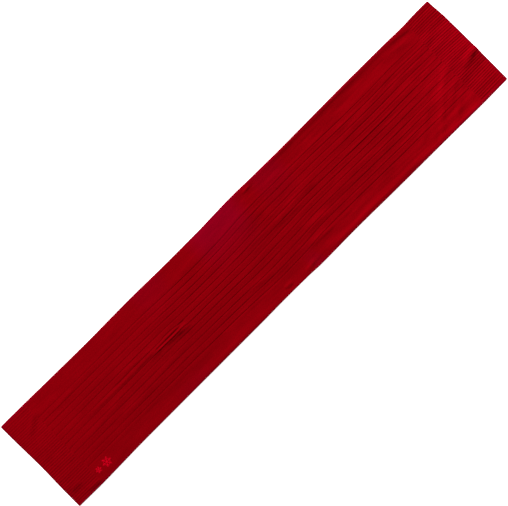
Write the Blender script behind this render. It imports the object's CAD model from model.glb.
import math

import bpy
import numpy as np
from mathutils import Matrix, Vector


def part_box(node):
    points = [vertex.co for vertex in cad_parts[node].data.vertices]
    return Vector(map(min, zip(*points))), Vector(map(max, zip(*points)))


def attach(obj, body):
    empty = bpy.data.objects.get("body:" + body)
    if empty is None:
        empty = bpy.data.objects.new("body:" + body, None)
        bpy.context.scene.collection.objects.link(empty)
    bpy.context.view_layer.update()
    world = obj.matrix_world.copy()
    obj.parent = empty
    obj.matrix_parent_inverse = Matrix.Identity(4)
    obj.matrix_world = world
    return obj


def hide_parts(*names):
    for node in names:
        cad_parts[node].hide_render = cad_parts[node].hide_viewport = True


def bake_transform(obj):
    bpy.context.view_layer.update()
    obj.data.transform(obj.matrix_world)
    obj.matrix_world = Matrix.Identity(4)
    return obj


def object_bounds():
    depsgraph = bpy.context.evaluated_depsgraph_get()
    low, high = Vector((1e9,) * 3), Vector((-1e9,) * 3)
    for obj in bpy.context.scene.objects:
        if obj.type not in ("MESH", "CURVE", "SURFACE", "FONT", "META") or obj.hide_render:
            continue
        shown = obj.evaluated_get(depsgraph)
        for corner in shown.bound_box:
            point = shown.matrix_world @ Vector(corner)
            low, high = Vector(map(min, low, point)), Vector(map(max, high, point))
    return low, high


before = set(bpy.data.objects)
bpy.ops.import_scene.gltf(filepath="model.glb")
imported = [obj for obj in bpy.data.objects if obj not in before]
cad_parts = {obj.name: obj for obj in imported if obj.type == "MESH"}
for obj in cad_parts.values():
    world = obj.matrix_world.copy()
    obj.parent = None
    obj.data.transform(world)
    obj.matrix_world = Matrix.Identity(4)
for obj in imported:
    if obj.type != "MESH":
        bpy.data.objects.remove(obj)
cad_low, cad_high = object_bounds()

# A dark red knitted scarf lying flat, face up. The knit is built as a fine mesh over the packed
# solids, in metres: +X along its length, +Y across it, +Z up. Flat coordinates (s, c) run along and
# across the cut fabric, and every layer, rib and fold is a function of them.

MM = 0.001

# ---- places taken from the frame

panels = [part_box(f"body_panel_{i}") for i in (1, 2, 3, 4)]
end_cuff_low, end_cuff_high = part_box("rib_cuff_end")
chain_low, chain_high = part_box("linked_edge_end")

LENGTH = cad_high.x - cad_low.x
WIDTH = cad_high.y - cad_low.y
HALF_LENGTH = LENGTH / 2
HALF_WIDTH = WIDTH / 2
CUFF_LINE = (panels[3][1].x + end_cuff_low.x) / 2  # where fine rib meets body, on either side of 0
OUTER_FOLD = (panels[2][1].x + panels[3][0].x) / 2
BODY_THICKNESS = panels[1][1].z
CUFF_THICKNESS = end_cuff_high.z
CHAIN_DEPTH = chain_high.x - chain_low.x  # length of the chain of yarn past the end of each cuff

# ---- the knit's own dimensions

WALE_COUNT = 176
WALE = WIDTH / WALE_COUNT  # width of one column of stitches
COURSE = 1.3 * MM  # height of one row of stitches
VALLEY_COUNT = 12
WALES_PER_STRIP = 10
VALLEY_PITCH = WALES_PER_STRIP * WALE
VALLEYS = (np.arange(VALLEY_COUNT) - (VALLEY_COUNT - 1) / 2) * VALLEY_PITCH  # across the scarf
VALLEY_REACH = VALLEYS[-1]
DEEPEST_VALLEY = 6
VALLEY_DEPTH = 0.8 * MM
VALLEY_HALF_WIDTH = 1.0 * MM
VALLEY_SHADE = 0.62  # colour on the floor of a valley, as a share of the colour on the strips
SIDE_BAND_RISE = 6 * MM  # width over which a plain side band rises from the outermost valley
STRIP_CROWN = 0.14 * MM  # how much higher a strip is in its middle than at its sides
MIDDLE_LINE_DEPTH = 0.3 * MM  # of the faint line along the middle of a strip
MIDDLE_LINE_HALF_WIDTH = 2 * MM
MIDDLE_LINE_DARKNESS = 0.22  # as a share of a valley's
REVERSE_RIB_HEIGHT = 0.7 * MM
REVERSE_RIB_FULLNESS = 0.35  # power of the valley's profile: a valley's back is a wider, rounder ridge
FINE_RIB_COUNT = 44
FINE_RIB_PITCH = WIDTH / FINE_RIB_COUNT
FINE_RIB_DEPTH = 1.05 * MM
FINE_VALLEY_SHADE = 0.76
FINE_DARKNESS = 0.75  # as a share of a valley's
FINE_REVERSE_SHARE = 0.7  # depth of the fine rib on the reverse, as a share of its depth on the face
CUFF_BLEND = 4 * MM  # length over which the fine rib takes over from the body
EDGE_ROUNDING = 4.5 * MM
END_ROUNDING = 2.2 * MM
EDGE_FULLNESS = 0.985  # share of the rounding that the mesh covers before its small outer wall
STAND_OFF = 0.6 * MM  # of the underside from the surface, where no fold raises or presses it
LIFT_SOFTNESS = 0.3 * MM


def smoothstep(t):
    t = np.clip(t, 0, 1)
    return t * t * (3 - 2 * t)


def spline(stations, x):
    """Smooth curve through (x, value) stations that never overshoots them, level at both ends."""
    xs, values = np.array(stations, float).T
    rises = np.diff(values) / np.diff(xs)
    before, after = rises[:-1], rises[1:]
    same_way = before * after > 0
    slopes = np.zeros_like(xs)
    slopes[1:-1] = np.where(same_way, 2 * before * after / np.where(same_way, before + after, 1), 0)
    x = np.clip(x, xs[0], xs[-1])
    i = np.clip(np.searchsorted(xs, x, side="right") - 1, 0, len(xs) - 2)
    step = xs[i + 1] - xs[i]
    t = (x - xs[i]) / step
    eased = values[i] + (values[i + 1] - values[i]) * smoothstep(t)
    return eased + step * t * (t - 1) * ((t - 1) * slopes[i] + t * slopes[i + 1])


def smooth_noise(x, y, cell_x, cell_y, seed):
    """Noise from -1 to 1 on a grid of random values, eased between its points."""
    grid = np.random.default_rng(seed).uniform(-1, 1, (64, 64))
    u, v = x / cell_x + 31.5, y / cell_y + 31.5
    i, j = np.floor(u).astype(int), np.floor(v).astype(int)
    a, b = smoothstep(u - i), smoothstep(v - j)
    i, j = i % 63, j % 63
    low = grid[i, j] * (1 - a) + grid[i + 1, j] * a
    high = grid[i, j + 1] * (1 - a) + grid[i + 1, j + 1] * a
    return low * (1 - b) + high * b


# ---- outline and rib lines, in mm

# How the long edges, the middle of the ribs and the width of the ribbed field wander along the scarf.
UPPER_EDGE = [(-820, 153), (-740, 152.6), (-570, 150.3), (-490, 149.7), (-340, 151), (-170, 149.2),
              (-70, 149.6), (60, 152.6), (150, 151.1), (240, 150.2), (500, 151.9), (640, 151.3),
              (720, 149.9), (780, 151.8), (820, 151.6)]
LOWER_EDGE = [(-820, -151.8), (-740, -152.6), (-640, -150.9), (-570, -149.7), (-300, -149.3),
              (-130, -149.3), (-30, -148.3), (60, -149), (110, -151), (240, -149.7), (400, -151.4),
              (600, -152.3), (740, -153.5), (820, -152.6)]
RIB_MIDDLE = [(-730, 2.6), (-440, 2.2), (-340, 1.5), (-230, -1.5), (-100, -3.4), (-30, -4), (40, -2.3),
              (110, -0.4), (210, 1.8), (300, 0.8), (400, -1.4), (510, -2.7), (600, -2), (650, -2.1),
              (730, -3)]
RIB_SPREAD = [(-730, 1.005), (-600, 0.997), (-400, 0.995), (-300, 0.985), (-165, 0.972), (-90, 0.985),
              (-30, 1.012), (40, 1.04), (105, 1.038), (175, 1.006), (300, 1.003), (420, 0.996),
              (520, 0.998), (620, 1.012), (730, 0.998)]
# How the fine ribs of the cuffs wander from even spacing, at the seam and at the end, across the scarf.
START_RIBS = [(-150, 0), (-143, -1.6), (-97, -1.7), (-60, -1.6), (-20, -0.7), (10, -0.8), (60, -1.9),
              (110, -3.1), (130, -3.2), (143, -2.6), (150, 0)]
START_RIBS_FLARE = [(-150, 0), (-97, 0), (-43, 0.9), (20, 1.9), (66, 1.9), (93, 1.4), (130, 0), (150, 0)]
END_RIBS_SEAM = [(-150, 0), (-143, 4.8), (-120, 4.7), (-96, 4.4), (-70, 5), (-30, 5.4), (12, 4.3),
                 (40, 4), (75, 2.5), (110, 0.8), (143, -0.8), (150, 0)]
END_RIBS_TIP = [(-150, 0), (-143, 5.2), (-124, 5.1), (-97, 4.5), (-62, 3.7), (-45, 1.9), (-21, 0.9),
                (0, -1.2), (40, -2), (75, -1.7), (120, -1.2), (143, -1.1), (150, 0)]
# How the two ends bulge or draw in, across the scarf.
START_EDGE = [(-150, -1.4), (-100, -1.2), (0, 0.6), (90, -0.7), (150, -1.3)]
END_EDGE = [(-150, 1.7), (-60, 2.1), (20, 1.7), (90, 0.7), (150, -3.3)]
END_SEAM_SHIFT = -2.2  # how far the last cuff's seam is drawn towards the middle
END_SEAM_REACH = 60  # length of the body that is drawn with it
STROKE_OVERRUN = 0.15  # past each end, as a share of the stroke's length
STROKE_TAPER = 0.4


def soft_strokes(strokes, x, y):
    """Sum of soft-edged strokes, each from a start to an end with a half width and a strength."""
    total = np.zeros_like(x)
    for start_x, start_y, end_x, end_y, half_width, strength in strokes:
        length = math.hypot(end_x - start_x, end_y - start_y)
        along_x, along_y = (end_x - start_x) / length, (end_y - start_y) / length
        dx, dy = x / MM - start_x, y / MM - start_y
        along = (dx * along_x + dy * along_y) / length
        across = (dy * along_x - dx * along_y) / half_width
        taper = smoothstep((along + STROKE_OVERRUN) / STROKE_TAPER)
        taper *= smoothstep((1 + STROKE_OVERRUN - along) / STROKE_TAPER)
        total += strength * taper * np.exp(-(across**2))
    return total


# Where the pinched strip pushes the valleys beside it out of line.
PUSHED_ASIDE = [
    (-345, 10, -292, 11, 4.5, 2.9),
    (-292, -7, -268, -7, 4, 1.7),
    (-328, -7.5, -308, -7.5, 3.5, -1),
]


def place(s, c, cuffs):
    """Where flat coordinates lie on the surface, as x and y, in the body or in a cuff."""
    s_mm, c_mm = s / MM, c / MM
    reach = VALLEY_REACH / MM
    upper, lower = spline(UPPER_EDGE, s_mm), spline(LOWER_EDGE, s_mm)
    along_cuff = np.clip((np.abs(s) - CUFF_LINE) / (HALF_LENGTH - CUFF_LINE), 0, 1)
    if cuffs:
        y = lower + (upper - lower) * (c_mm + HALF_WIDTH / MM) / (WIDTH / MM)
        end_wander = spline(END_RIBS_SEAM, c_mm) * (1 - along_cuff)
        end_wander += spline(END_RIBS_TIP, c_mm) * along_cuff
        start_wander = spline(START_RIBS, c_mm) + spline(START_RIBS_FLARE, c_mm) * along_cuff**3
        y += np.where(s > 0, end_wander, start_wander)
    else:
        middle, spread = spline(RIB_MIDDLE, s_mm), spline(RIB_SPREAD, s_mm)
        band = HALF_WIDTH / MM - reach
        above = np.clip((c_mm - reach) / band, 0, 1)
        below = np.clip((-reach - c_mm) / band, 0, 1)
        y = middle + np.clip(c_mm, -reach, reach) * spread
        y += above * (upper - middle - reach * spread) + below * (lower - middle + reach * spread)
        y += soft_strokes(PUSHED_ASIDE, s, c)
    near_end_seam = np.exp(-(((s - CUFF_LINE) / (END_SEAM_REACH * MM)) ** 2))
    x = s_mm + END_SEAM_SHIFT * near_end_seam * (1 - along_cuff)
    x += np.where(s > 0, spline(END_EDGE, c_mm), spline(START_EDGE, c_mm)) * smoothstep(along_cuff)
    return x * MM, y * MM


# ---- soft folds, in mm and degrees

# (start x, start y, end x, end y, half width, height). A positive height is a ridge.
RIDGES = [
    # the crease, where one strip of the ribbing is pinched up between two grooves
    (-392, 2, -266, -3, 12, 2.2),
    (-364, 0.6, -284, 0.8, 2.7, -1.7),
    (-380, -4.2, -274, -4.0, 2.8, 1.2),
    (-600, 3, -400, 1, 4, 0.8),
    (-480, 20, -425, 17, 5, 0.8),
    (-690, -40, -520, -22, 9, 1.0),
    # puckers in the side bands, just past the middle
    (-8, -127, 18, -128, 5.5, 1.6),
    (-4, -138, 14, -139, 3, -0.8),
    (70, -136, 104, -128, 7, 1.4),
    (86, -144, 120, -138, 4, -1.0),
    (92, 136, 118, 139, 4, 1.7),
    (70, 124, 128, 132, 4, -1.0),
    (70, 120, 100, 128, 5, 1.1),
    (30, 62, 100, 66, 8, 1.2),
    (92, 6, 180, 8, 8, 1.2),
    (150, 22, 250, 26, 8, 1.0),
    (140, -46, 230, -66, 13, 1.5),
    (120, -94, 210, -98, 7, 1.2),
    # both long edges stand up a little, more along the second half
    (150, 147, 420, 146, 8, 2.0),
    (380, 146, 660, 145, 8, 2.3),
    (640, 146, 735, 138, 9, 2.3),
    (620, 120, 710, 112, 8, 1.2),
    (-380, -142, -10, -142, 9, 0.8),
    (160, -141, 420, -141, 8, 1.9),
    (400, -142, 560, -143, 9, 1.8),
    (560, -146, 730, -148, 10, 1.8),
    # slack diagonals towards the plain end
    (574, -150, 640, -84, 9, 2.2),
    (622, -100, 690, -33, 10, 2.4),
    (684, -42, 745, -8, 10, 2.2),
    (640, -140, 712, -84, 9, 2.0),
    (668, -92, 724, -50, 8, 1.6),
    (600, -60, 660, -10, 11, 1.4),
    (655, 12, 720, 22, 9, 1.4),
    (690, 60, 740, 95, 11, 1.2),
    (560, 40, 640, 64, 12, 0.9),
    (540, -112, 600, -62, 9, 1.2),
    (735, -60, 790, -40, 10, 1.2),
    # folds in the fine ribs
    (760, -46, 822, -26, 9, 3.2),
    (780, 38, 822, 50, 12, 1.0),
    (760, 90, 822, 104, 12, 0.8),
    (-775, 80, -722, 118, 9, 1.8),
    (-805, -104, -770, -106, 9, 1.4),
    (-790, -20, -740, -12, 12, 0.7),
    (-772, -138, -725, -140, 6, 1.6),
    # low waves elsewhere
    (-690, 82, -610, 84, 9, 1.0),
    (-560, -70, -400, -58, 14, 1.2),
    (-330, -80, -200, -88, 12, 1.0),
    (-180, 100, -40, 104, 12, 0.8),
    (-80, -60, 60, -84, 12, 1.0),
    (190, -110, 300, -116, 10, 0.8),
    (420, 8, 560, 4, 6, 1.1),
]


# Where the nap of the yarn lies towards or away from the light, as the share it adds to the colour.
NAP = [
    # the crease and the hollows round it
    (-345, 2.7, -286, 3.1, 2.3, -0.5),
    (-374, 3.0, -345, 2.5, 1.5, -0.45),
    (-373, 3.2, -367, 2.8, 1.5, -0.4),
    (-368, -1.3, -274, -1.4, 1.6, -0.08),
    (-373, -1.3, -352, -1.3, 1.6, 0.14),
    (-284, -0.6, -264, 0.4, 3.4, 0.16),
    (-380, -5.9, -330, -6.4, 1.2, -0.2),
    (-345, -7.4, -302, -7.4, 1.5, -0.18),
    (-371, -6.2, -363, -6.4, 1.7, -0.4),
    (-345, -12.4, -285, -13.2, 3.2, -0.32),
    (-325, -18, -270, -22, 5, -0.12),
    (-302, -13.5, -258, -17.5, 3, -0.24),
    (-305, -24, -250, -25, 2.2, -0.2),
    (-400, -11, -366, -12.5, 4, -0.16),
    (-282, -32, -262, -32, 5, -0.1),
    (-450, 0.4, -388, 0.2, 2.8, -0.3),
    (-400, 17, -376, 15, 4, 0.12),
    (-286, 8.8, -262, 6.6, 1.6, -0.6),
    (-262, -9.8, -205, -10.4, 1.5, -0.25),
    # the two long edges
    (170, 140, 640, 139, 5, -0.13),
    (190, 150, 680, 149, 3, -0.14),
    (650, 139, 735, 130, 5, -0.1),
    (-380, -131, -20, -131, 9, 0.05),
    (150, -132, 420, -132, 8, 0.15),
    (420, -134, 560, -136, 7, 0.08),
    (560, -140, 735, -142, 8, 0.07),
    # wide areas and folds
    (-20, -60, 90, 60, 60, -0.06),
    (-800, 45, -640, 45, 60, 0.07),
    (-600, 130, 640, 126, 14, -0.04),
    (480, -124, 735, -124, 14, 0.06),
    (40, 66, 100, 66, 7, -0.1),
    (90, 8, 180, 8, 6, -0.1),
    (140, -44, 230, -62, 11, 0.1),
    (130, -92, 190, -92, 7, 0.12),
    (-620, -55, -120, -75, 34, -0.05),
    (-480, -102, -220, -104, 9, -0.08),
    (600, -125, 700, -20, 30, 0.1),
    (690, -20, 735, 60, 25, 0.03),
    (580, -104, 680, -104, 5, -0.12),
    (762, -34, 826, -14, 7, 0.14),
    (776, -50, 806, -44, 4, -0.24),
    (590, -128, 700, -130, 20, -0.07),
    (720, -128, 822, -132, 22, -0.03),
    (812, 30, 812, 140, 8, 0.08),
    (782, -20, 782, 100, 40, 0.03),
    (-808, -110, -808, 20, 8, 0.06),
    (385, 7.4, 545, 6.0, 1.9, -0.3),
    (0, 124, 340, 122, 14, -0.05),
    (450, 122, 590, 120, 12, -0.06),
    (450, 85, 590, 85, 16, -0.04),
    (-110, -88, 110, -90, 20, -0.05),
    (10, -48, 110, -48, 18, -0.04),
    (690, 148, 822, 146, 9, -0.07),
    (792, -41, 826, -38, 3.5, -0.4),
    (-775, 84, -726, 116, 7, -0.12),
    (-810, -108, -775, -108, 10, -0.08),
    (-770, -142, -728, -144, 6, -0.12),
    # patches on the slack diagonals towards the plain end
    (600, -95, 650, -90, 3.5, 0.2),
    (646, -68, 686, -56, 6, 0.14),
    (664, -44, 690, -36, 4, 0.15),
    (685, -25, 710, -19, 3.5, 0.22),
    (695, -10, 728, -5, 3.5, 0.2),
    (655, 19, 690, 20, 2.5, 0.2),
    (650, 6, 682, 5.6, 1.6, -0.25),
    (662, 138, 700, 135, 3, -0.25),
    (695, 134, 728, 128, 3.5, -0.16),
    (636, 122, 690, 108, 4, -0.1),
    (560, -135, 592, -118, 5, -0.1),
    (655, -134, 690, -118, 6, -0.03),
    (610, -128, 660, -114, 7, 0.06),
    # patches along the strips and valleys
    (-522, 10.4, -468, 10.4, 1.5, -0.3),
    (-515, -101, -455, -102, 3.5, -0.09),
    (-175, -103, -70, -104, 3.5, -0.1),
    (-138, -87.5, -87, -87.5, 2.5, 0.1),
    (102, 130, 126, 132, 5, -0.12),
    (94, 140, 119, 140, 1.6, 0.15),
    (118, 10.2, 165, 10.6, 1.6, -0.3),
    (45, 79, 110, 79.4, 1.5, -0.2),
    (105, 22, 150, 22.5, 2.5, 0.12),
    (62, -132, 104, -131, 4, 0.14),
    (92, -104, 205, -103, 4, -0.1),
    (490, -74, 545, -74, 2.5, 0.14),
    (500, -7, 545, -7, 2.5, 0.12),
    (395, -103, 440, -103, 3, -0.1),
]

# Where the dye leans towards purple, as hundredths of blue.
PURPLE = [
    (-110, 150, 70, 140, 85, 0.5),
    (120, 150, 230, 150, 70, 0.22),
    (-330, 150, -220, 150, 60, 0.15),
    (-420, -150, -300, -150, 30, 0.12),
    (90, -150, 130, -140, 40, 0.2),
    (700, -100, 790, 100, 90, 0.03),
]
RIM_PURPLE = 0.35
RIM_WIDTH = 4 * MM


def added_blue(x, y):
    """Blue that the dye adds to the colour, in soft patches and along the thin rim."""
    from_rim = np.clip(np.minimum(HALF_WIDTH - np.abs(y), HALF_LENGTH - np.abs(x)), 0, None)
    rim = RIM_PURPLE * np.exp(-((from_rim / RIM_WIDTH) ** 2))
    return (soft_strokes(PURPLE, x, y) + rim) / 100


# Share of the wandering relief, along the scarf.
SLACK = [(-820, 0.8), (-300, 0.8), (0, 1), (400, 1), (600, 1.7), (820, 1.8)]


def wandering_relief(x, y):
    """Slight unevenness of a knit that was smoothed out by hand, more of it towards the plain end."""
    broad = smooth_noise(x, y, 0.085, 0.05, seed=11)
    lengthwise = smooth_noise(x, y, 0.11, 0.014, seed=12)
    diagonal = smooth_noise(x + y, x - y, 0.09, 0.03, seed=14)
    small = smooth_noise(x, y, 0.02, 0.012, seed=13)
    height = 0.7 * broad + 0.45 * lengthwise + 0.3 * diagonal + 0.08 * small
    return height * spline(SLACK, x / MM) * MM


def lift(x, y):
    """How far the knit's underside stands off the surface, never below it."""
    raw = STAND_OFF + soft_strokes(RIDGES, x, y) * MM + wandering_relief(x, y)
    return LIFT_SOFTNESS * np.logaddexp(0, raw / LIFT_SOFTNESS)


# ---- relief of the stitches' structure


def end_weight(s):
    """1 in the cuffs' fine rib and 0 in the body, changing just inside the cuffs."""
    return smoothstep((np.abs(s) - CUFF_LINE) / CUFF_BLEND)


# Shares along the scarf: depth of the valleys, of the line along the middle of a strip and of the fine
# ribs, and the contrast of the streaks in the nap.
VALLEY_STRENGTH = [(-730, 0.66), (-630, 0.5), (-520, 0.62), (-440, 0.74), (-350, 0.68), (-276, 0.86),
                   (-180, 1.1), (-114, 1.14), (-30, 0.92), (50, 0.9), (200, 0.92), (400, 1.15),
                   (540, 1.22), (620, 1.06), (700, 1.15), (730, 1.15)]
MIDDLE_LINE_STRENGTH = [(-735, 0.35), (-200, 0.4), (0, 0.6), (300, 0.8), (480, 1), (735, 1.2)]
FINE_RIB_STRENGTH = [(-820, 0.54), (0, 0.8), (820, 1.4)]
STREAK_STRENGTH = [(-820, 0.04), (-200, 0.055), (150, 0.1), (820, 0.14)]
START_RIB_CONTRAST = [(-150, 1.2), (10, 1.2), (50, 0.85), (150, 0.85)]  # across the start cuff


def valley_shape(s, c):
    """0 on the strips and 1 on the floor of the valley between two strips, and the strips' crown."""
    index = np.round(c / VALLEY_PITCH + (VALLEY_COUNT - 1) / 2).astype(int)
    index = np.clip(index, 0, VALLEY_COUNT - 1)
    offset = c - VALLEYS[index]
    valley = np.exp(-((offset / VALLEY_HALF_WIDTH) ** 2))
    inside = np.abs(c) < VALLEY_REACH
    from_middle = 1 - 2 * np.abs(offset) / VALLEY_PITCH
    crown = np.where(inside, 1 - from_middle**2, smoothstep(np.abs(offset) / SIDE_BAND_RISE))
    s_mm = s / MM
    strength = spline(VALLEY_STRENGTH, s_mm) + 0.25 * smooth_noise(s, index, 0.05, 1.0, seed=21)
    deeper = 0.35 * smoothstep((s_mm - 50) / 300) + 0.6 * np.exp(-(((s_mm - 470) / 100) ** 2))
    strength += deeper * (index == DEEPEST_VALLEY)
    return valley * np.clip(strength, 0.2, 2), crown


def structure(s, c):
    """Drop of the upper face below the crests, and how deep in a valley each point is (0 to 1)."""
    cuff = end_weight(s)
    valley, crown = valley_shape(s, c)
    fine = 0.5 + 0.5 * np.cos(2 * np.pi * (c - HALF_WIDTH) / FINE_RIB_PITCH)
    fine *= spline(FINE_RIB_STRENGTH, s / MM) * (0.85 + 0.2 * smooth_noise(s, c, 0.02, 0.02, seed=22))
    fine *= np.where(s < 0, spline(START_RIB_CONTRAST, c / MM), 1)
    from_line = np.abs(c / VALLEY_PITCH - np.round(c / VALLEY_PITCH)) * VALLEY_PITCH
    middle_line = np.exp(-((from_line / MIDDLE_LINE_HALF_WIDTH) ** 2)) * (np.abs(c) < VALLEY_REACH)
    middle_line *= spline(MIDDLE_LINE_STRENGTH, s / MM)
    middle_line *= 1 + 0.5 * smooth_noise(s, c, 0.04, 0.01, seed=23)
    body_drop = VALLEY_DEPTH * valley + STRIP_CROWN * (1 - crown) + MIDDLE_LINE_DEPTH * middle_line
    drop = (1 - cuff) * body_drop + cuff * FINE_RIB_DEPTH * fine
    depth = (1 - cuff) * (valley + MIDDLE_LINE_DARKNESS * middle_line) + cuff * FINE_DARKNESS * fine
    return drop, np.clip(depth, 0, 1)


def reverse_structure(s, c):
    """Rise of the underside above its lowest lines, and how deep each point is (0 to 1)."""
    cuff = end_weight(s)
    valley, _ = valley_shape(s, c)
    ridge = np.clip(valley, 0, 1) ** REVERSE_RIB_FULLNESS
    fine = 0.5 - 0.5 * np.cos(2 * np.pi * (c - HALF_WIDTH) / FINE_RIB_PITCH)
    rise = (1 - cuff) * REVERSE_RIB_HEIGHT * (1 - ridge)
    rise += cuff * FINE_REVERSE_SHARE * FINE_RIB_DEPTH * fine
    beside_ridge = 4 * ridge * (1 - ridge)
    depth = (1 - cuff) * (0.3 * (1 - ridge) + 0.6 * beside_ridge) + cuff * fine
    return rise, np.clip(depth, 0, 1)


# ---- mesh building


def grid_quads(rows, columns, first=0):
    """Quads of a rows by columns grid of vertices, facing up when rows run along X."""
    index = first + np.arange(rows * columns).reshape(rows, columns)
    corners = [index[:-1, :-1], index[1:, :-1], index[1:, 1:], index[:-1, 1:]]
    return np.stack(corners, -1).reshape(-1, 4)


def make_object(name, points, quads, material, attributes=None, creases=None):
    """A smooth mesh object of quads, with point attributes of three numbers, and vertices whose
    joining edges stay sharp."""
    mesh = bpy.data.meshes.new(name)
    mesh.vertices.add(len(points))
    mesh.vertices.foreach_set("co", np.ascontiguousarray(points, np.float32).ravel())
    mesh.loops.add(quads.size)
    mesh.loops.foreach_set("vertex_index", np.ascontiguousarray(quads, np.int32).ravel())
    mesh.polygons.add(len(quads))
    mesh.polygons.foreach_set("loop_start", np.arange(0, quads.size, 4, dtype=np.int32))
    mesh.polygons.foreach_set("use_smooth", np.ones(len(quads), bool))
    for attribute_name, values in (attributes or {}).items():
        attribute = mesh.attributes.new(attribute_name, "FLOAT_VECTOR", "POINT")
        attribute.data.foreach_set("vector", np.ascontiguousarray(values, np.float32).ravel())
    mesh.update(calc_edges=True)
    if creases is not None:
        ends = np.empty(2 * len(mesh.edges), np.int32)
        mesh.edges.foreach_get("vertices", ends)
        sharp = np.isin(ends, creases).reshape(-1, 2).all(1)
        mesh.attributes.new("sharp_edge", "BOOLEAN", "EDGE").data.foreach_set("value", sharp)
    mesh.materials.append(material)
    piece = bpy.data.objects.new(name, mesh)
    bpy.context.scene.collection.objects.link(piece)
    return piece


def slab(name, upper, lower, material, upper_surface, lower_surface, dyed=False):
    """A closed slab between two grids of points of the same shape, rows along X and columns along Y,
    with three numbers stored at each point for its material."""
    rows, columns = upper.shape[:2]
    count = rows * columns
    top = grid_quads(rows, columns)
    bottom = grid_quads(rows, columns, count)[:, ::-1]
    upper_index = np.arange(count).reshape(rows, columns)
    rim = np.concatenate([
        upper_index[0, ::-1],
        upper_index[1:, 0],
        upper_index[-1, 1:],
        upper_index[-2:0:-1, -1],
    ])
    following = np.roll(rim, -1)
    wall = np.stack([rim, rim + count, following + count, following], -1)
    points = np.concatenate([upper.reshape(-1, 3), lower.reshape(-1, 3)])
    surface = np.concatenate([upper_surface.reshape(-1, 3), lower_surface.reshape(-1, 3)])
    cut = np.concatenate([np.r_[row, row + count] for row in (upper_index[0], upper_index[-1])])
    attributes = {"surface": surface}
    if dyed:
        blue = added_blue(points[:, 0], points[:, 1])
        attributes["dye"] = np.stack([0 * blue, 0 * blue, blue], -1)
    return make_object(name, points, np.concatenate([top, bottom, wall]), material, attributes, cut)


TUBE_SIDES = 6  # each end is closed by two quads


def tube(path, radius, reference):
    """Points and quads of a closed tube along a path, whose frame stays square to a reference."""
    tangent = np.gradient(path, axis=0)
    tangent /= np.linalg.norm(tangent, axis=1, keepdims=True)
    side = np.cross(tangent, reference)
    side /= np.linalg.norm(side, axis=1, keepdims=True)
    up = np.cross(side, tangent)
    turn = np.linspace(0, 2 * np.pi, TUBE_SIDES, endpoint=False)
    radius = np.broadcast_to(radius, len(path))[:, None, None]
    ring = np.cos(turn)[None, :, None] * side[:, None] + np.sin(turn)[None, :, None] * up[:, None]
    points = (path[:, None] + radius * ring).reshape(-1, 3)
    index = np.arange(len(points)).reshape(len(path), TUBE_SIDES)
    following = np.roll(index, -1, axis=1)
    walls = np.stack([index[:-1], following[:-1], following[1:], index[1:]], -1).reshape(-1, 4)
    first, last = index[0], index[-1]
    caps = [[first[0], first[3], first[2], first[1]], [first[0], first[5], first[4], first[3]],
            [last[0], last[1], last[2], last[3]], [last[0], last[3], last[4], last[5]]]
    return points, np.concatenate([walls, caps])


def joined(parts):
    """One set of points and quads from many."""
    points, quads, count = [], [], 0
    for part_points, part_quads in parts:
        points.append(part_points)
        quads.append(part_quads + count)
        count += len(part_points)
    return np.concatenate(points), np.concatenate(quads)


# ---- the knitted fabric

BLEND_OUTER = 7 * MM  # half the stretch of knit that turns at the outer folds
BLEND_MIDDLE = 17.5 * MM
ROW_STEP = 3 * MM
# (fold line, half the stretch that turns there, space between its rows)
FOLDS = [
    (-OUTER_FOLD, BLEND_OUTER, 0.8 * MM),
    (0, BLEND_MIDDLE, 1.4 * MM),
    (OUTER_FOLD, BLEND_OUTER, 0.8 * MM),
]
CUFF_LINE_ROWS = np.array([0.5, 1.1, 2.4]) * MM  # past the line where a cuff begins
EVEN_ROWS_FROM = 3 * MM  # past the same line
LEAST_ROW_STEP = 0.5 * MM
COLUMN_STEP = 2 * MM  # on the plain side bands
LEAST_COLUMN_STEP = 0.3 * MM
VALLEY_COLUMNS = np.array([0, 0.6, 1.2, 1.9, 3.2, 4.9, 6.7, 8.5]) * MM  # on either side of each valley
CREASE_COLUMNS = np.arange(-14, 15, 0.6) * MM
COLUMNS_PER_FINE_RIB = 8
EDGE_COLUMNS = 6  # in the rounding of a long edge
END_ROWS = 6

LABEL_LOW, LABEL_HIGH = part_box("brand_label")
CARE_LOW, CARE_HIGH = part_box("care_label")
BACKING_LOW, BACKING_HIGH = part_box("emblem_backing")
POCKET_MARGIN = 2.5 * MM  # round the labels and the backing, where the knit bends over their edges
POCKET_GAP = 0.15 * MM


def rows_between(start, end):
    """Row places along the length, closer together where the knit turns at a fold line."""
    places = list(np.arange(start, end, ROW_STEP)) + [end]
    for middle, reach, step in FOLDS:
        if start < middle - reach and middle + reach < end:
            low, high = middle - reach - step, middle + reach + step
            places = [p for p in places if not low - step < p < high + step]
            places += list(np.arange(low, high + step / 2, step))
    return np.array(sorted(places))


def edge_columns(inner):
    """Column places from a given place out to the long edge, close together round the edge."""
    start = HALF_WIDTH - EDGE_ROUNDING
    flat = np.linspace(inner, start, 1 + max(1, round((start - inner) / COLUMN_STEP)))
    turn = np.sin(np.linspace(0, math.asin(EDGE_FULLNESS), EDGE_COLUMNS + 1)[1:])
    return np.concatenate([flat, start + EDGE_ROUNDING * turn])


def body_columns(extra=()):
    """Column places over the whole width, close together at the valleys and at the extra places."""
    beside = np.concatenate([-VALLEY_COLUMNS, VALLEY_COLUMNS])
    places = np.concatenate([(VALLEYS[:, None] + beside).ravel(), extra])
    places = np.unique(np.round(places, 6))
    merged = [places[0]]
    for p in places[1:]:
        if p - merged[-1] > LEAST_COLUMN_STEP:
            merged.append(p)
    outer = edge_columns(merged[-1])[1:]
    return np.concatenate([-outer[::-1], merged, outer])


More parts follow.
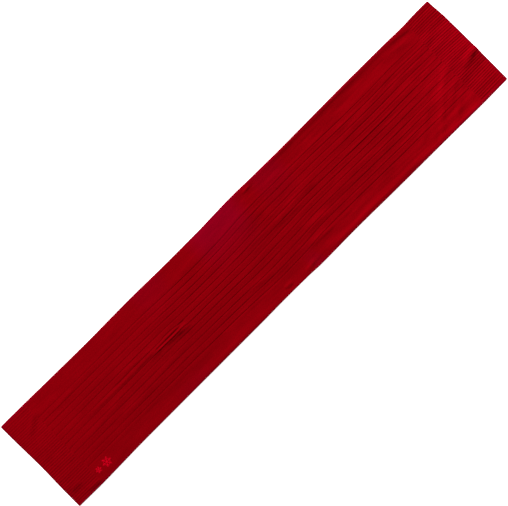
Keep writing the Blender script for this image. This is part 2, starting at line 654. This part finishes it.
def cuff_columns():
    """Column places over the whole width, even across the fine ribs."""
    start = HALF_WIDTH - EDGE_ROUNDING
    count = round(2 * start / FINE_RIB_PITCH * COLUMNS_PER_FINE_RIB)
    inner = np.linspace(-start, start, count + 1)
    outer = edge_columns(start)[1:]
    return np.concatenate([-outer[::-1], inner, outer])


def pocket(x, y):
    """Depth of the hollows that the labels and the backing press into the reverse."""
    depth = np.zeros_like(x)
    for low, high in ((LABEL_LOW, LABEL_HIGH), (CARE_LOW, CARE_HIGH), (BACKING_LOW, BACKING_HIGH)):
        inside = np.ones_like(x)
        for past_side in (x - low.x, high.x - x, y - low.y, high.y - y):
            inside *= smoothstep((past_side + POCKET_MARGIN) / POCKET_MARGIN)
        depth = np.maximum(depth, inside * (high.z + POCKET_GAP))
    return depth


def nap_shades(x, y, c):
    """Share of the colour that the nap leaves, on the face and on the reverse."""
    streaks = smooth_noise(x, c, 0.07, 0.0042, seed=32) + 0.6 * smooth_noise(x, c, 0.03, 0.0024, seed=33)
    face = 1 + soft_strokes(NAP, x, y) + 0.035 * smooth_noise(x, y, 0.12, 0.03, seed=31)
    face += spline(STREAK_STRENGTH, x / MM) * streaks
    reverse = 1 + 0.06 * smooth_noise(x, c, 0.09, 0.005, seed=34)
    reverse += 0.05 * smooth_noise(x, y, 0.1, 0.04, seed=35)
    return face, reverse


def fabric_grids(rows, columns, cuffs):
    """Upper and lower points of the knit at every row and column, and what is stored at each: its
    place in wales and courses, and its shade."""
    s, c = np.meshgrid(rows, columns, indexing="ij")
    x, y = place(s, c, cuffs)
    cuff = end_weight(s)
    thickness = BODY_THICKNESS * (1 - cuff) + CUFF_THICKNESS * cuff
    across = np.clip((np.abs(c) - HALF_WIDTH + EDGE_ROUNDING) / EDGE_ROUNDING, 0, 1)
    from_end = HALF_LENGTH - CHAIN_DEPTH - np.abs(s)
    endwise = np.clip(1 - from_end / END_ROUNDING, 0, EDGE_FULLNESS)
    fullness = np.sqrt(1 - across**2) * np.sqrt(1 - endwise**2)
    middle = lift(x, y) + thickness / 2
    drop, depth = structure(s, c)
    rise, reverse_depth = reverse_structure(s, c)
    top = middle + fullness * (thickness / 2 - drop)
    bottom = middle - fullness * (thickness / 2 - rise)
    bottom = np.maximum(bottom, pocket(x, y))
    darkest = VALLEY_SHADE * (1 - cuff) + FINE_VALLEY_SHADE * cuff
    nap, reverse_nap = nap_shades(x, y, c)
    upper_shade = (1 - (1 - darkest) * depth) * nap
    lower_shade = (1 - (1 - darkest) * reverse_depth) * reverse_nap
    stitch = np.stack([c / WALE, s / COURSE], -1)
    upper = np.stack([x, y, top], -1)
    lower = np.stack([x, y, bottom], -1)
    return upper, lower, np.dstack([stitch, upper_shade]), np.dstack([stitch, lower_shade])


def fabric_piece(name, start, end, columns, material):
    """The knit from one place along the length to another."""
    rows = rows_between(start, end)
    cuffs = abs(end) > CUFF_LINE or abs(start) > CUFF_LINE
    if cuffs:
        tip = HALF_LENGTH - CHAIN_DEPTH
        turn = np.sin(np.linspace(0, math.asin(EDGE_FULLNESS), END_ROWS))
        turn = tip - END_ROUNDING + END_ROUNDING * turn
        side = 1 if end > 0 else -1
        even = (np.abs(rows) > CUFF_LINE + EVEN_ROWS_FROM) & (np.abs(rows) < turn[0] - LEAST_ROW_STEP)
        near = side * np.concatenate([[CUFF_LINE], CUFF_LINE + CUFF_LINE_ROWS, turn])
        rows = np.sort(np.concatenate([rows[even], near]))
    upper, lower, upper_surface, lower_surface = fabric_grids(rows, columns, cuffs)
    return slab(name, upper, lower, material, upper_surface, lower_surface, dyed=True)


# ---- materials


def set_inputs(node, values):
    for name, value in values.items():
        node.inputs[name].default_value = value


def new_material(name, color, roughness):
    material = bpy.data.materials.new(name)
    material.use_nodes = True
    shader = material.node_tree.nodes["Principled BSDF"]
    set_inputs(shader, {"Base Color": (*color, 1), "Roughness": roughness})
    return material, material.node_tree, shader


def math_node(tree, operation, *values):
    node = tree.nodes.new("ShaderNodeMath")
    node.operation = operation
    for socket, value in zip(node.inputs, values):
        if isinstance(value, (int, float)):
            socket.default_value = value
        else:
            tree.links.new(value, socket)
    return node.outputs[0]


def product(tree, first, *others):
    """All the values multiplied together."""
    for other in others:
        first = math_node(tree, "MULTIPLY", first, other)
    return first


def noise_node(tree, coordinates, scale, detail=2.0):
    node = tree.nodes.new("ShaderNodeTexNoise")
    set_inputs(node, {"Scale": scale, "Detail": detail})
    tree.links.new(coordinates, node.inputs["Vector"])
    return node.outputs["Fac"]


def stretched(tree, coordinates, scale):
    """Coordinates multiplied by three constants."""
    node = tree.nodes.new("ShaderNodeVectorMath")
    node.operation = "MULTIPLY"
    node.inputs[1].default_value = scale
    tree.links.new(coordinates, node.inputs[0])
    return node.outputs[0]


def map_range(tree, value, low, high):
    node = tree.nodes.new("ShaderNodeMapRange")
    tree.links.new(value, node.inputs["Value"])
    set_inputs(node, {"To Min": low, "To Max": high})
    return node.outputs[0]


def surface_numbers(tree):
    """What slab() stores at each point, as a vector and as three numbers."""
    surface = tree.nodes.new("ShaderNodeAttribute")
    surface.attribute_name = "surface"
    parts = tree.nodes.new("ShaderNodeSeparateXYZ")
    tree.links.new(surface.outputs["Vector"], parts.inputs[0])
    return surface.outputs["Vector"], parts.outputs


def shaded_color(tree, shader, color, shade):
    """Makes the base colour a colour times a shade, and returns the socket that holds the colour."""
    tint = tree.nodes.new("ShaderNodeVectorMath")
    tint.operation = "SCALE"
    tint.inputs[0].default_value = color
    tree.links.new(shade, tint.inputs["Scale"])
    tree.links.new(tint.outputs[0], shader.inputs["Base Color"])
    return tint.inputs[0]


def bumped(tree, shader, height, strength, distance):
    bump = tree.nodes.new("ShaderNodeBump")
    set_inputs(bump, {"Strength": strength, "Distance": distance})
    tree.links.new(height, bump.inputs["Height"])
    tree.links.new(bump.outputs[0], shader.inputs["Normal"])


def rounded(tree, value, fall):
    """1 where a value is 0, and less by fall where it is -1 or 1."""
    return math_node(tree, "SUBTRACT", 1.0, product(tree, value, value, fall))


def stitch_height(tree, wale, course):
    """Height of knit stitches: two legs that lean together in each wale, like a row of V shapes."""
    in_wale = math_node(tree, "SUBTRACT", math_node(tree, "FRACT", wale), 0.5)
    from_wale_centre = math_node(tree, "ABSOLUTE", in_wale)
    leg = math_node(tree, "SUBTRACT", product(tree, from_wale_centre, 4.0), 1.0)
    slanted = math_node(tree, "SUBTRACT", course, product(tree, from_wale_centre, 1.3))
    in_course = math_node(tree, "FRACT", slanted)
    along_leg = math_node(tree, "SUBTRACT", product(tree, in_course, 2.0), 1.0)
    return product(tree, rounded(tree, leg, 1.0), rounded(tree, along_leg, 0.7))


def knit_material(name, color):
    """Matt knitted yarn: stitches in relief, darker between them, uneven dye, and the stored shade."""
    material, tree, shader = new_material(name, color, 0.95)
    set_inputs(shader, {
        "Specular IOR Level": 0.0,
        "Sheen Weight": 0.12,
        "Sheen Roughness": 0.5,
        "Sheen Tint": (0.9, 0.02, 0.05, 1),
    })
    knit, (wale, course, stored_shade) = surface_numbers(tree)

    stitches = stitch_height(tree, wale, course)
    fibre = noise_node(tree, stretched(tree, knit, (1, 1, 0)), 3.0, 3.0)
    yarn = noise_node(tree, stretched(tree, knit, (0.35, 0.02, 0)), 1.0, 3.0)
    patches = noise_node(tree, stretched(tree, knit, (0.03, 0.012, 0)), 1.0)
    shade = product(
        tree,
        map_range(tree, stitches, 0.84, 1.04),
        map_range(tree, fibre, 0.93, 1.07),
        map_range(tree, yarn, 0.87, 1.13),
        map_range(tree, patches, 0.95, 1.05),
        stored_shade,
    )
    dye = tree.nodes.new("ShaderNodeAttribute")
    dye.attribute_name = "dye"
    dyed = tree.nodes.new("ShaderNodeVectorMath")
    dyed.inputs[0].default_value = color
    tree.links.new(dye.outputs["Vector"], dyed.inputs[1])
    tree.links.new(dyed.outputs[0], shaded_color(tree, shader, color, shade))

    relief = math_node(tree, "ADD", stitches, product(tree, fibre, 0.5))
    bumped(tree, shader, relief, 0.5, 0.25 * MM)
    return material


body_knit = knit_material("body_knit", (0.2, 0.0, 0.0023))
cuff_knit = knit_material("cuff_knit", (0.205, 0.0, 0.0025))

# ---- pieces of knit

JOIN = OUTER_FOLD / 2  # where two pieces of knit meet, half way between two folds
creased = body_columns(CREASE_COLUMNS)
cuff_start = fabric_piece("knit_cuff_start", -HALF_LENGTH, -CUFF_LINE, cuff_columns(), cuff_knit)
body_start = fabric_piece("knit_body_start", -CUFF_LINE, -JOIN, creased, body_knit)
body_middle = fabric_piece("knit_body_middle", -JOIN, JOIN, body_columns(), body_knit)
body_end = fabric_piece("knit_body_end", JOIN, CUFF_LINE, body_columns(), body_knit)
cuff_end = fabric_piece("knit_cuff_end", CUFF_LINE, HALF_LENGTH, cuff_columns(), cuff_knit)

# ---- linked edges of the cuffs


def yarn_material(name, color, roughness, sheen, fine=2600.0, coarse=420.0, contrast=0.25):
    """Twisted yarn, thread or felt: fine fibres in relief, with coarser patches lighter or darker."""
    material, tree, shader = new_material(name, color, roughness)
    set_inputs(shader, {
        "Specular IOR Level": 0.0,
        "Sheen Weight": sheen,
        "Sheen Roughness": 0.35,
        "Sheen Tint": (*(min(1, 4 * part) for part in color), 1),
    })
    place_node = tree.nodes.new("ShaderNodeTexCoord")
    plies = noise_node(tree, place_node.outputs["Object"], fine)
    uneven = noise_node(tree, place_node.outputs["Object"], coarse)
    fine_shade = map_range(tree, plies, 1 - contrast, 1 + contrast)
    coarse_shade = map_range(tree, uneven, 1 - 0.6 * contrast, 1 + 0.6 * contrast)
    shaded_color(tree, shader, color, product(tree, fine_shade, coarse_shade))
    bumped(tree, shader, plies, 0.4, 0.08 * MM)
    return material


LINK_COUNT = 2 * FINE_RIB_COUNT
LINK_PITCH = WIDTH / LINK_COUNT
LINK_RADIUS = 0.72 * MM
LINK_GAP = 0.35 * MM  # from the loops to the faces of the knit
LINK_INSET = 1.6 * MM  # from the last loop to the long edge
CORE_RADIUS = 1.15 * MM
CORE_INSET = 0.3 * MM
POINTS_PER_LINK = 14
LINK_LEAN = 0.3  # as a share of the pitch


def linked_edge(name, side, material):
    """The chain of yarn that binds off the last row of a cuff, looped once round each half rib."""
    turns = np.linspace(0, LINK_COUNT * 2 * np.pi, LINK_COUNT * POINTS_PER_LINK + 1)
    reach = HALF_WIDTH - LINK_INSET
    c = -reach + 2 * reach * turns / turns[-1] + LINK_LEAN * LINK_PITCH * np.sin(2 * turns)
    loop_middle = HALF_LENGTH - CHAIN_DEPTH / 2 - LINK_RADIUS / 2
    s = side * (loop_middle + (CHAIN_DEPTH / 2 - LINK_RADIUS / 2) * np.sin(turns))
    x, y = place(s, c, True)
    z = lift(x, y) + CUFF_THICKNESS / 2 + (CUFF_THICKNESS / 2 - LINK_RADIUS - LINK_GAP) * np.cos(turns)
    loops = tube(np.stack([x, y, z], -1), LINK_RADIUS, np.array([0.0, 1.0, 0.0]))
    c = np.linspace(-reach, reach, 2 * LINK_COUNT)
    x, y = place(side * np.full_like(c, HALF_LENGTH - CHAIN_DEPTH / 2 - CORE_INSET), c, True)
    z = lift(x, y) + CUFF_THICKNESS / 2
    core = tube(np.stack([x, y, z], -1), CORE_RADIUS, np.array([0.0, 0.0, 1.0]))
    return make_object(name, *joined([loops, core]), material)


linking_yarn = yarn_material("linking_yarn", (0.19, 0.0, 0.005), 0.9, 0.1)
edge_start = linked_edge("yarn_edge_start", -1, linking_yarn)
edge_end = linked_edge("yarn_edge_end", 1, linking_yarn)

# ---- embroidered emblem

FLAKE_ARMS = 6
TWIG_ANGLE = math.radians(60)
TWIGS = [(0.45, 0.34), (0.74, 0.22)]  # place along the arm and length, as shares of the arm
TWIG_WIDTH = 0.8  # as a share of the arm's
TWIG_HEIGHT = 0.85
ALONG_THREAD = np.linspace(-1, 1, 7)  # places from one end of a single stitch to the other
THREAD_RADIUS = 0.3 * MM
THREAD_PITCH = 0.52 * MM
THREAD_SINK = 0.15 * MM  # how far below the face of the knit a thread goes in
BOBBIN_RADIUS = 0.2 * MM  # the thread on the reverse of the embroidery, which lies flat on the backing
BOBBIN_SPREAD = 0.8  # its width, as a share of the width on the face


def satin_bar(centre, angle, length, width, height):
    """Threads side by side across a bar, each one arched over it and going down at both ends, and the
    flatter bobbin threads behind them."""
    along = np.array([math.cos(angle), math.sin(angle)])
    across = np.array([-along[1], along[0]])
    reference = np.array([*along, 0.0])
    threads = []
    count = max(3, round(length / THREAD_PITCH))
    for i in range(count):
        share = (i + 0.5) / count
        taper = math.sqrt(max(0.25, 1 - max(0, 2 * share - 1) ** 4))
        middle = centre + along * length * share
        half_thread = across * width / 2 * taper + along * THREAD_PITCH
        flat = middle + ALONG_THREAD[:, None] * half_thread
        arch = height * taper * np.sqrt(1 - 0.92 * ALONG_THREAD**2)
        arch += face_height(*middle) - THREAD_SINK
        threads.append(tube(np.column_stack([flat, arch]), THREAD_RADIUS, reference))
        behind = middle + BOBBIN_SPREAD * (flat - middle)
        back = BACKING_LOW.z + under_height(behind[:, 0], behind[:, 1])
        threads.append(tube(np.column_stack([behind, back]), BOBBIN_RADIUS, reference))
    return threads


def under_height(x, y):
    """Height of the knit's underside above the hollow that a patch presses into it."""
    return np.maximum(lift(x, y) - pocket(x, y), 0)


def face_height(x, y):
    """Height of the upper face of the plain knit at one place."""
    here = lift(np.array([x]), np.array([y]))
    return float(here[0]) + BODY_THICKNESS


def snowflake(name, node, bar_width, material):
    """Six arms of satin stitch, each with two pairs of twigs, as large as the packed snowflake."""
    low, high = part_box(node)
    centre = np.array([(low.x + high.x) / 2, (low.y + high.y) / 2])
    arm = (high.x - low.x) / 2
    height = high.z - low.z
    threads = []
    for i in range(FLAKE_ARMS):
        angle = i * 2 * math.pi / FLAKE_ARMS
        pointing = np.array([math.cos(angle), math.sin(angle)])
        threads += satin_bar(centre, angle, arm, bar_width, height)
        for along, length in TWIGS:
            root = centre + pointing * arm * along
            for turn in (-TWIG_ANGLE, TWIG_ANGLE):
                threads += satin_bar(
                    root, angle + turn, length * arm, TWIG_WIDTH * bar_width, TWIG_HEIGHT * height
                )
    return make_object(name, *joined(threads), material)


emblem_thread = yarn_material("emblem_thread", (0.47, 0.0, 0.009), 0.55, 0.2)
flake_large = snowflake("satin_flake_large", "emblem_large_snowflake", 2.4 * MM, emblem_thread)
flake_small = snowflake("satin_flake_small", "emblem_small_snowflake", 1.8 * MM, emblem_thread)

# ---- patches on the reverse

PATCH_ROUNDING = 0.8 * MM
PATCH_FULLNESS = 0.97
BORDER_INSET = 3.7  # mm from a woven patch's rim to its border line
BORDER_HALF_WIDTH = 0.5  # mm


def soft_patch(name, low, high, corner, material, rows, columns):
    """A thin closed patch with rounded corners and edges, which follows the underside of the knit.
    It stores each point's place in mm and how far it is from the rim."""
    u, v = np.meshgrid(np.linspace(-1, 1, rows), np.linspace(-1, 1, columns), indexing="ij")
    half_x, half_y = (high.x - low.x) / 2, (high.y - low.y) / 2
    x, y = u * half_x, v * half_y
    past_x, past_y = np.abs(x) - (half_x - corner), np.abs(y) - (half_y - corner)
    in_corner = (past_x > 0) & (past_y > 0)
    shrink = np.maximum(past_x, past_y) / np.maximum(np.hypot(past_x, past_y), 1e-9)
    x = np.where(in_corner, np.sign(x) * (half_x - corner + past_x * shrink), x)
    y = np.where(in_corner, np.sign(y) * (half_y - corner + past_y * shrink), y)
    from_rim = np.minimum((1 - np.abs(u)) * half_x, (1 - np.abs(v)) * half_y)
    past_rounding = 1 - np.clip(from_rim / PATCH_ROUNDING, 0, 1)
    round_off = np.sqrt(1 - PATCH_FULLNESS * past_rounding**2)
    half = (high.z - low.z) / 2 * round_off
    x, y = x + (low.x + high.x) / 2, y + (low.y + high.y) / 2
    middle = (low.z + high.z) / 2 + under_height(x, y)
    upper = np.stack([x, y, middle + half], -1)
    lower = np.stack([x, y, middle - half], -1)
    patch = np.stack([x, y, from_rim], -1) / MM
    return slab(name, upper, lower, material, patch, patch)


def woven_material(name, color, weave_scale, contrast, roughness, shine, border):
    """Woven cloth: two crossing sets of threads, in relief and in shade, and a line of lighter or
    darker threads just inside its rim."""
    material, tree, shader = new_material(name, color, roughness)
    set_inputs(shader, {"Specular IOR Level": shine})
    place_node = tree.nodes.new("ShaderNodeTexCoord")
    threads = []
    for direction in ("X", "Y"):
        wave = tree.nodes.new("ShaderNodeTexWave")
        wave.bands_direction = direction
        set_inputs(wave, {"Scale": weave_scale, "Distortion": 0.6})
        tree.links.new(place_node.outputs["Object"], wave.inputs["Vector"])
        threads.append(wave.outputs["Fac"])
    weave = math_node(tree, "MAXIMUM", threads[0], threads[1])
    uneven = noise_node(tree, place_node.outputs["Object"], 300.0, 3.0)
    _, (_, _, from_rim) = surface_numbers(tree)
    from_line = math_node(tree, "ABSOLUTE", math_node(tree, "SUBTRACT", from_rim, BORDER_INSET))
    on_line = math_node(tree, "LESS_THAN", from_line, BORDER_HALF_WIDTH)
    shade = product(
        tree,
        map_range(tree, weave, 1 - contrast, 1.0),
        map_range(tree, uneven, 0.8, 1.2),
        map_range(tree, on_line, 1.0, border),
    )
    shaded_color(tree, shader, color, shade)
    relief = math_node(tree, "ADD", weave, product(tree, uneven, 1.5))
    bumped(tree, shader, relief, 0.5, 0.08 * MM)
    return material


backing_felt = yarn_material("backing_felt", (0.03, 0.028, 0.03), 0.95, 0.1, 1100.0, 170.0, 0.6)
label_weave = woven_material("label_weave", (0.05, 0.003, 0.006), 800.0, 0.45, 0.7, 0.05, 4.0)
care_satin = woven_material("care_satin", (0.5, 0.48, 0.45), 1000.0, 0.25, 0.5, 0.1, 0.85)
label_thread = yarn_material("label_thread", (0.16, 0.003, 0.008), 0.7, 0.1)

backing = soft_patch("felt_backing", BACKING_LOW, BACKING_HIGH, 6 * MM, backing_felt, 48, 32)
label = soft_patch("woven_label", LABEL_LOW, LABEL_HIGH, 0.8 * MM, label_weave, 22, 48)
care_label = soft_patch("satin_care_label", CARE_LOW, CARE_HIGH, 1.2 * MM, care_satin, 48, 26)

STITCH_PITCH = 3.0 * MM
STITCH_LENGTH = 2.3 * MM
STITCH_RADIUS = 0.28 * MM
STITCH_INSET = 0.45 * MM
STITCH_SINK = 0.05 * MM


def label_stitches(name, material):
    """A row of single stitches round the label, each one a short arch of thread."""
    low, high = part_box("label_stitching")
    left, right = low.x + STITCH_INSET, high.x - STITCH_INSET
    lower, upper = low.y + STITCH_INSET, high.y - STITCH_INSET
    corners = [(left, lower), (right, lower), (right, upper), (left, upper)]
    arch_height = LABEL_LOW.z - low.z - STITCH_RADIUS
    radius = STITCH_RADIUS * np.sqrt(1 - 0.6 * ALONG_THREAD**2)
    stitches = []
    for start, end in zip(corners, corners[1:] + corners[:1]):
        start, end = np.array(start), np.array(end)
        length = np.linalg.norm(end - start)
        along = (end - start) / length
        outward = np.array([along[1], -along[0], 0.0])
        count = round(length / STITCH_PITCH)
        for i in range(count):
            middle = start + along * length * (i + 0.5) / count
            flat = middle + ALONG_THREAD[:, None] * along * STITCH_LENGTH / 2
            z = LABEL_LOW.z + STITCH_SINK - arch_height * np.sqrt(1 - 0.95 * ALONG_THREAD**2)
            z += under_height(flat[:, 0], flat[:, 1])
            stitches.append(tube(np.column_stack([flat, z]), radius, outward))
    return make_object(name, *joined(stitches), material)


stitching = label_stitches("label_stitches", label_thread)

# ---- stage, lights and camera

FLOOR_GAP = 0.3 * MM
VIEW_SHARE = 1.380 / 1.640  # width of the view, as a share of the scarf's length


def staged(name, color, roughness, specular, glow):
    """Makes the mesh that was just added a part of the stage, which glows white."""
    piece = bpy.context.object
    piece.name = name
    material, _, shader = new_material(name, color, roughness)
    set_inputs(shader, {
        "Specular IOR Level": specular,
        "Emission Color": (1, 1, 1, 1),
        "Emission Strength": glow,
    })
    piece.data.materials.append(material)
    return piece


def stage_floor():
    bpy.ops.mesh.primitive_plane_add(size=12, location=(0, 0, -FLOOR_GAP))
    staged("floor", (0.9, 0.9, 0.9), 0.9, 0.1, 0.72)


def white_backdrop():
    """A plain white dome behind everything, which neither lights nor shades the scene."""
    bpy.ops.mesh.primitive_uv_sphere_add(segments=48, ring_count=24, radius=20)
    dome = staged("backdrop", (0, 0, 0), 1.0, 0.0, 1.1)
    for kind in ("diffuse", "glossy", "transmission", "volume_scatter", "shadow"):
        setattr(dome, f"visible_{kind}", False)


def area_light(name, location, target, size, power):
    light = bpy.data.lights.new(name, "AREA")
    light.size = size
    light.energy = power
    lamp = bpy.data.objects.new(name, light)
    lamp.location = location
    direction = np.array(target) - np.array(location)
    lamp.rotation_euler = Vector(direction).to_track_quat("-Z", "Y").to_euler()
    lamp.visible_camera = False
    bpy.context.scene.collection.objects.link(lamp)


def studio():
    world = bpy.data.worlds.new("studio")
    bpy.context.scene.world = world
    world.use_nodes = True
    background = world.node_tree.nodes["Background"]
    set_inputs(background, {"Color": (1, 1, 1, 1), "Strength": 0.4})
    area_light("key", (0.5, 5.0, 3.1), (0, 0, 0), 1.9, 650)
    area_light("end_glow", (1.25, -0.15, 0.35), (0.75, -0.05, 0), 0.35, 3.0)
    bpy.context.scene.view_settings.view_transform = "Standard"
    bpy.context.scene.view_settings.look = "None"


def straight_down_camera():
    """Looks straight down with the scarf's length running from lower left to upper right."""
    camera = bpy.data.cameras.new("camera")
    camera.lens = 85
    holder = bpy.data.objects.new("camera", camera)
    holder.location = (0, 0, VIEW_SHARE * LENGTH * camera.lens / camera.sensor_width)
    holder.rotation_euler = (0, 0, math.radians(-45))
    bpy.context.scene.collection.objects.link(holder)
    bpy.context.scene.camera = holder


stage_floor()
white_backdrop()
studio()
straight_down_camera()

# ---- what rides on what

RIDERS = {
    "outer_quarter_start": [
        (cuff_start, "rib_cuff_start", "cuff_knit"),
        (edge_start, "linked_edge_start", "linking_yarn"),
        (flake_large, "emblem_large_snowflake", "emblem_thread"),
        (flake_small, "emblem_small_snowflake", "emblem_thread"),
        (backing, "emblem_backing", "backing_felt"),
    ],
    "outer_quarter_end": [
        (cuff_end, "rib_cuff_end", "cuff_knit"),
        (edge_end, "linked_edge_end", "linking_yarn"),
        (label, "brand_label", "label_weave"),
        (care_label, "care_label", "care_satin"),
        (stitching, "label_stitching", "label_thread"),
    ],
}
for body, riders in RIDERS.items():
    for piece, node, slot in riders:
        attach(piece, body)
        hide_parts(node)

# Each piece of the body turns over one fold line.
for piece, bodies, (middle, reach, _), nodes in (
    (body_start, ("outer_quarter_start", "inner_quarter_start"), FOLDS[0], ["body_panel_1"]),
    (body_middle, ("inner_quarter_start", "inner_quarter_end"), FOLDS[1], ["body_panel_2", "body_panel_3"]),
    (body_end, ("inner_quarter_end", "outer_quarter_end"), FOLDS[2], ["body_panel_4"]),
):
    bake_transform(piece)
    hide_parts(*nodes)
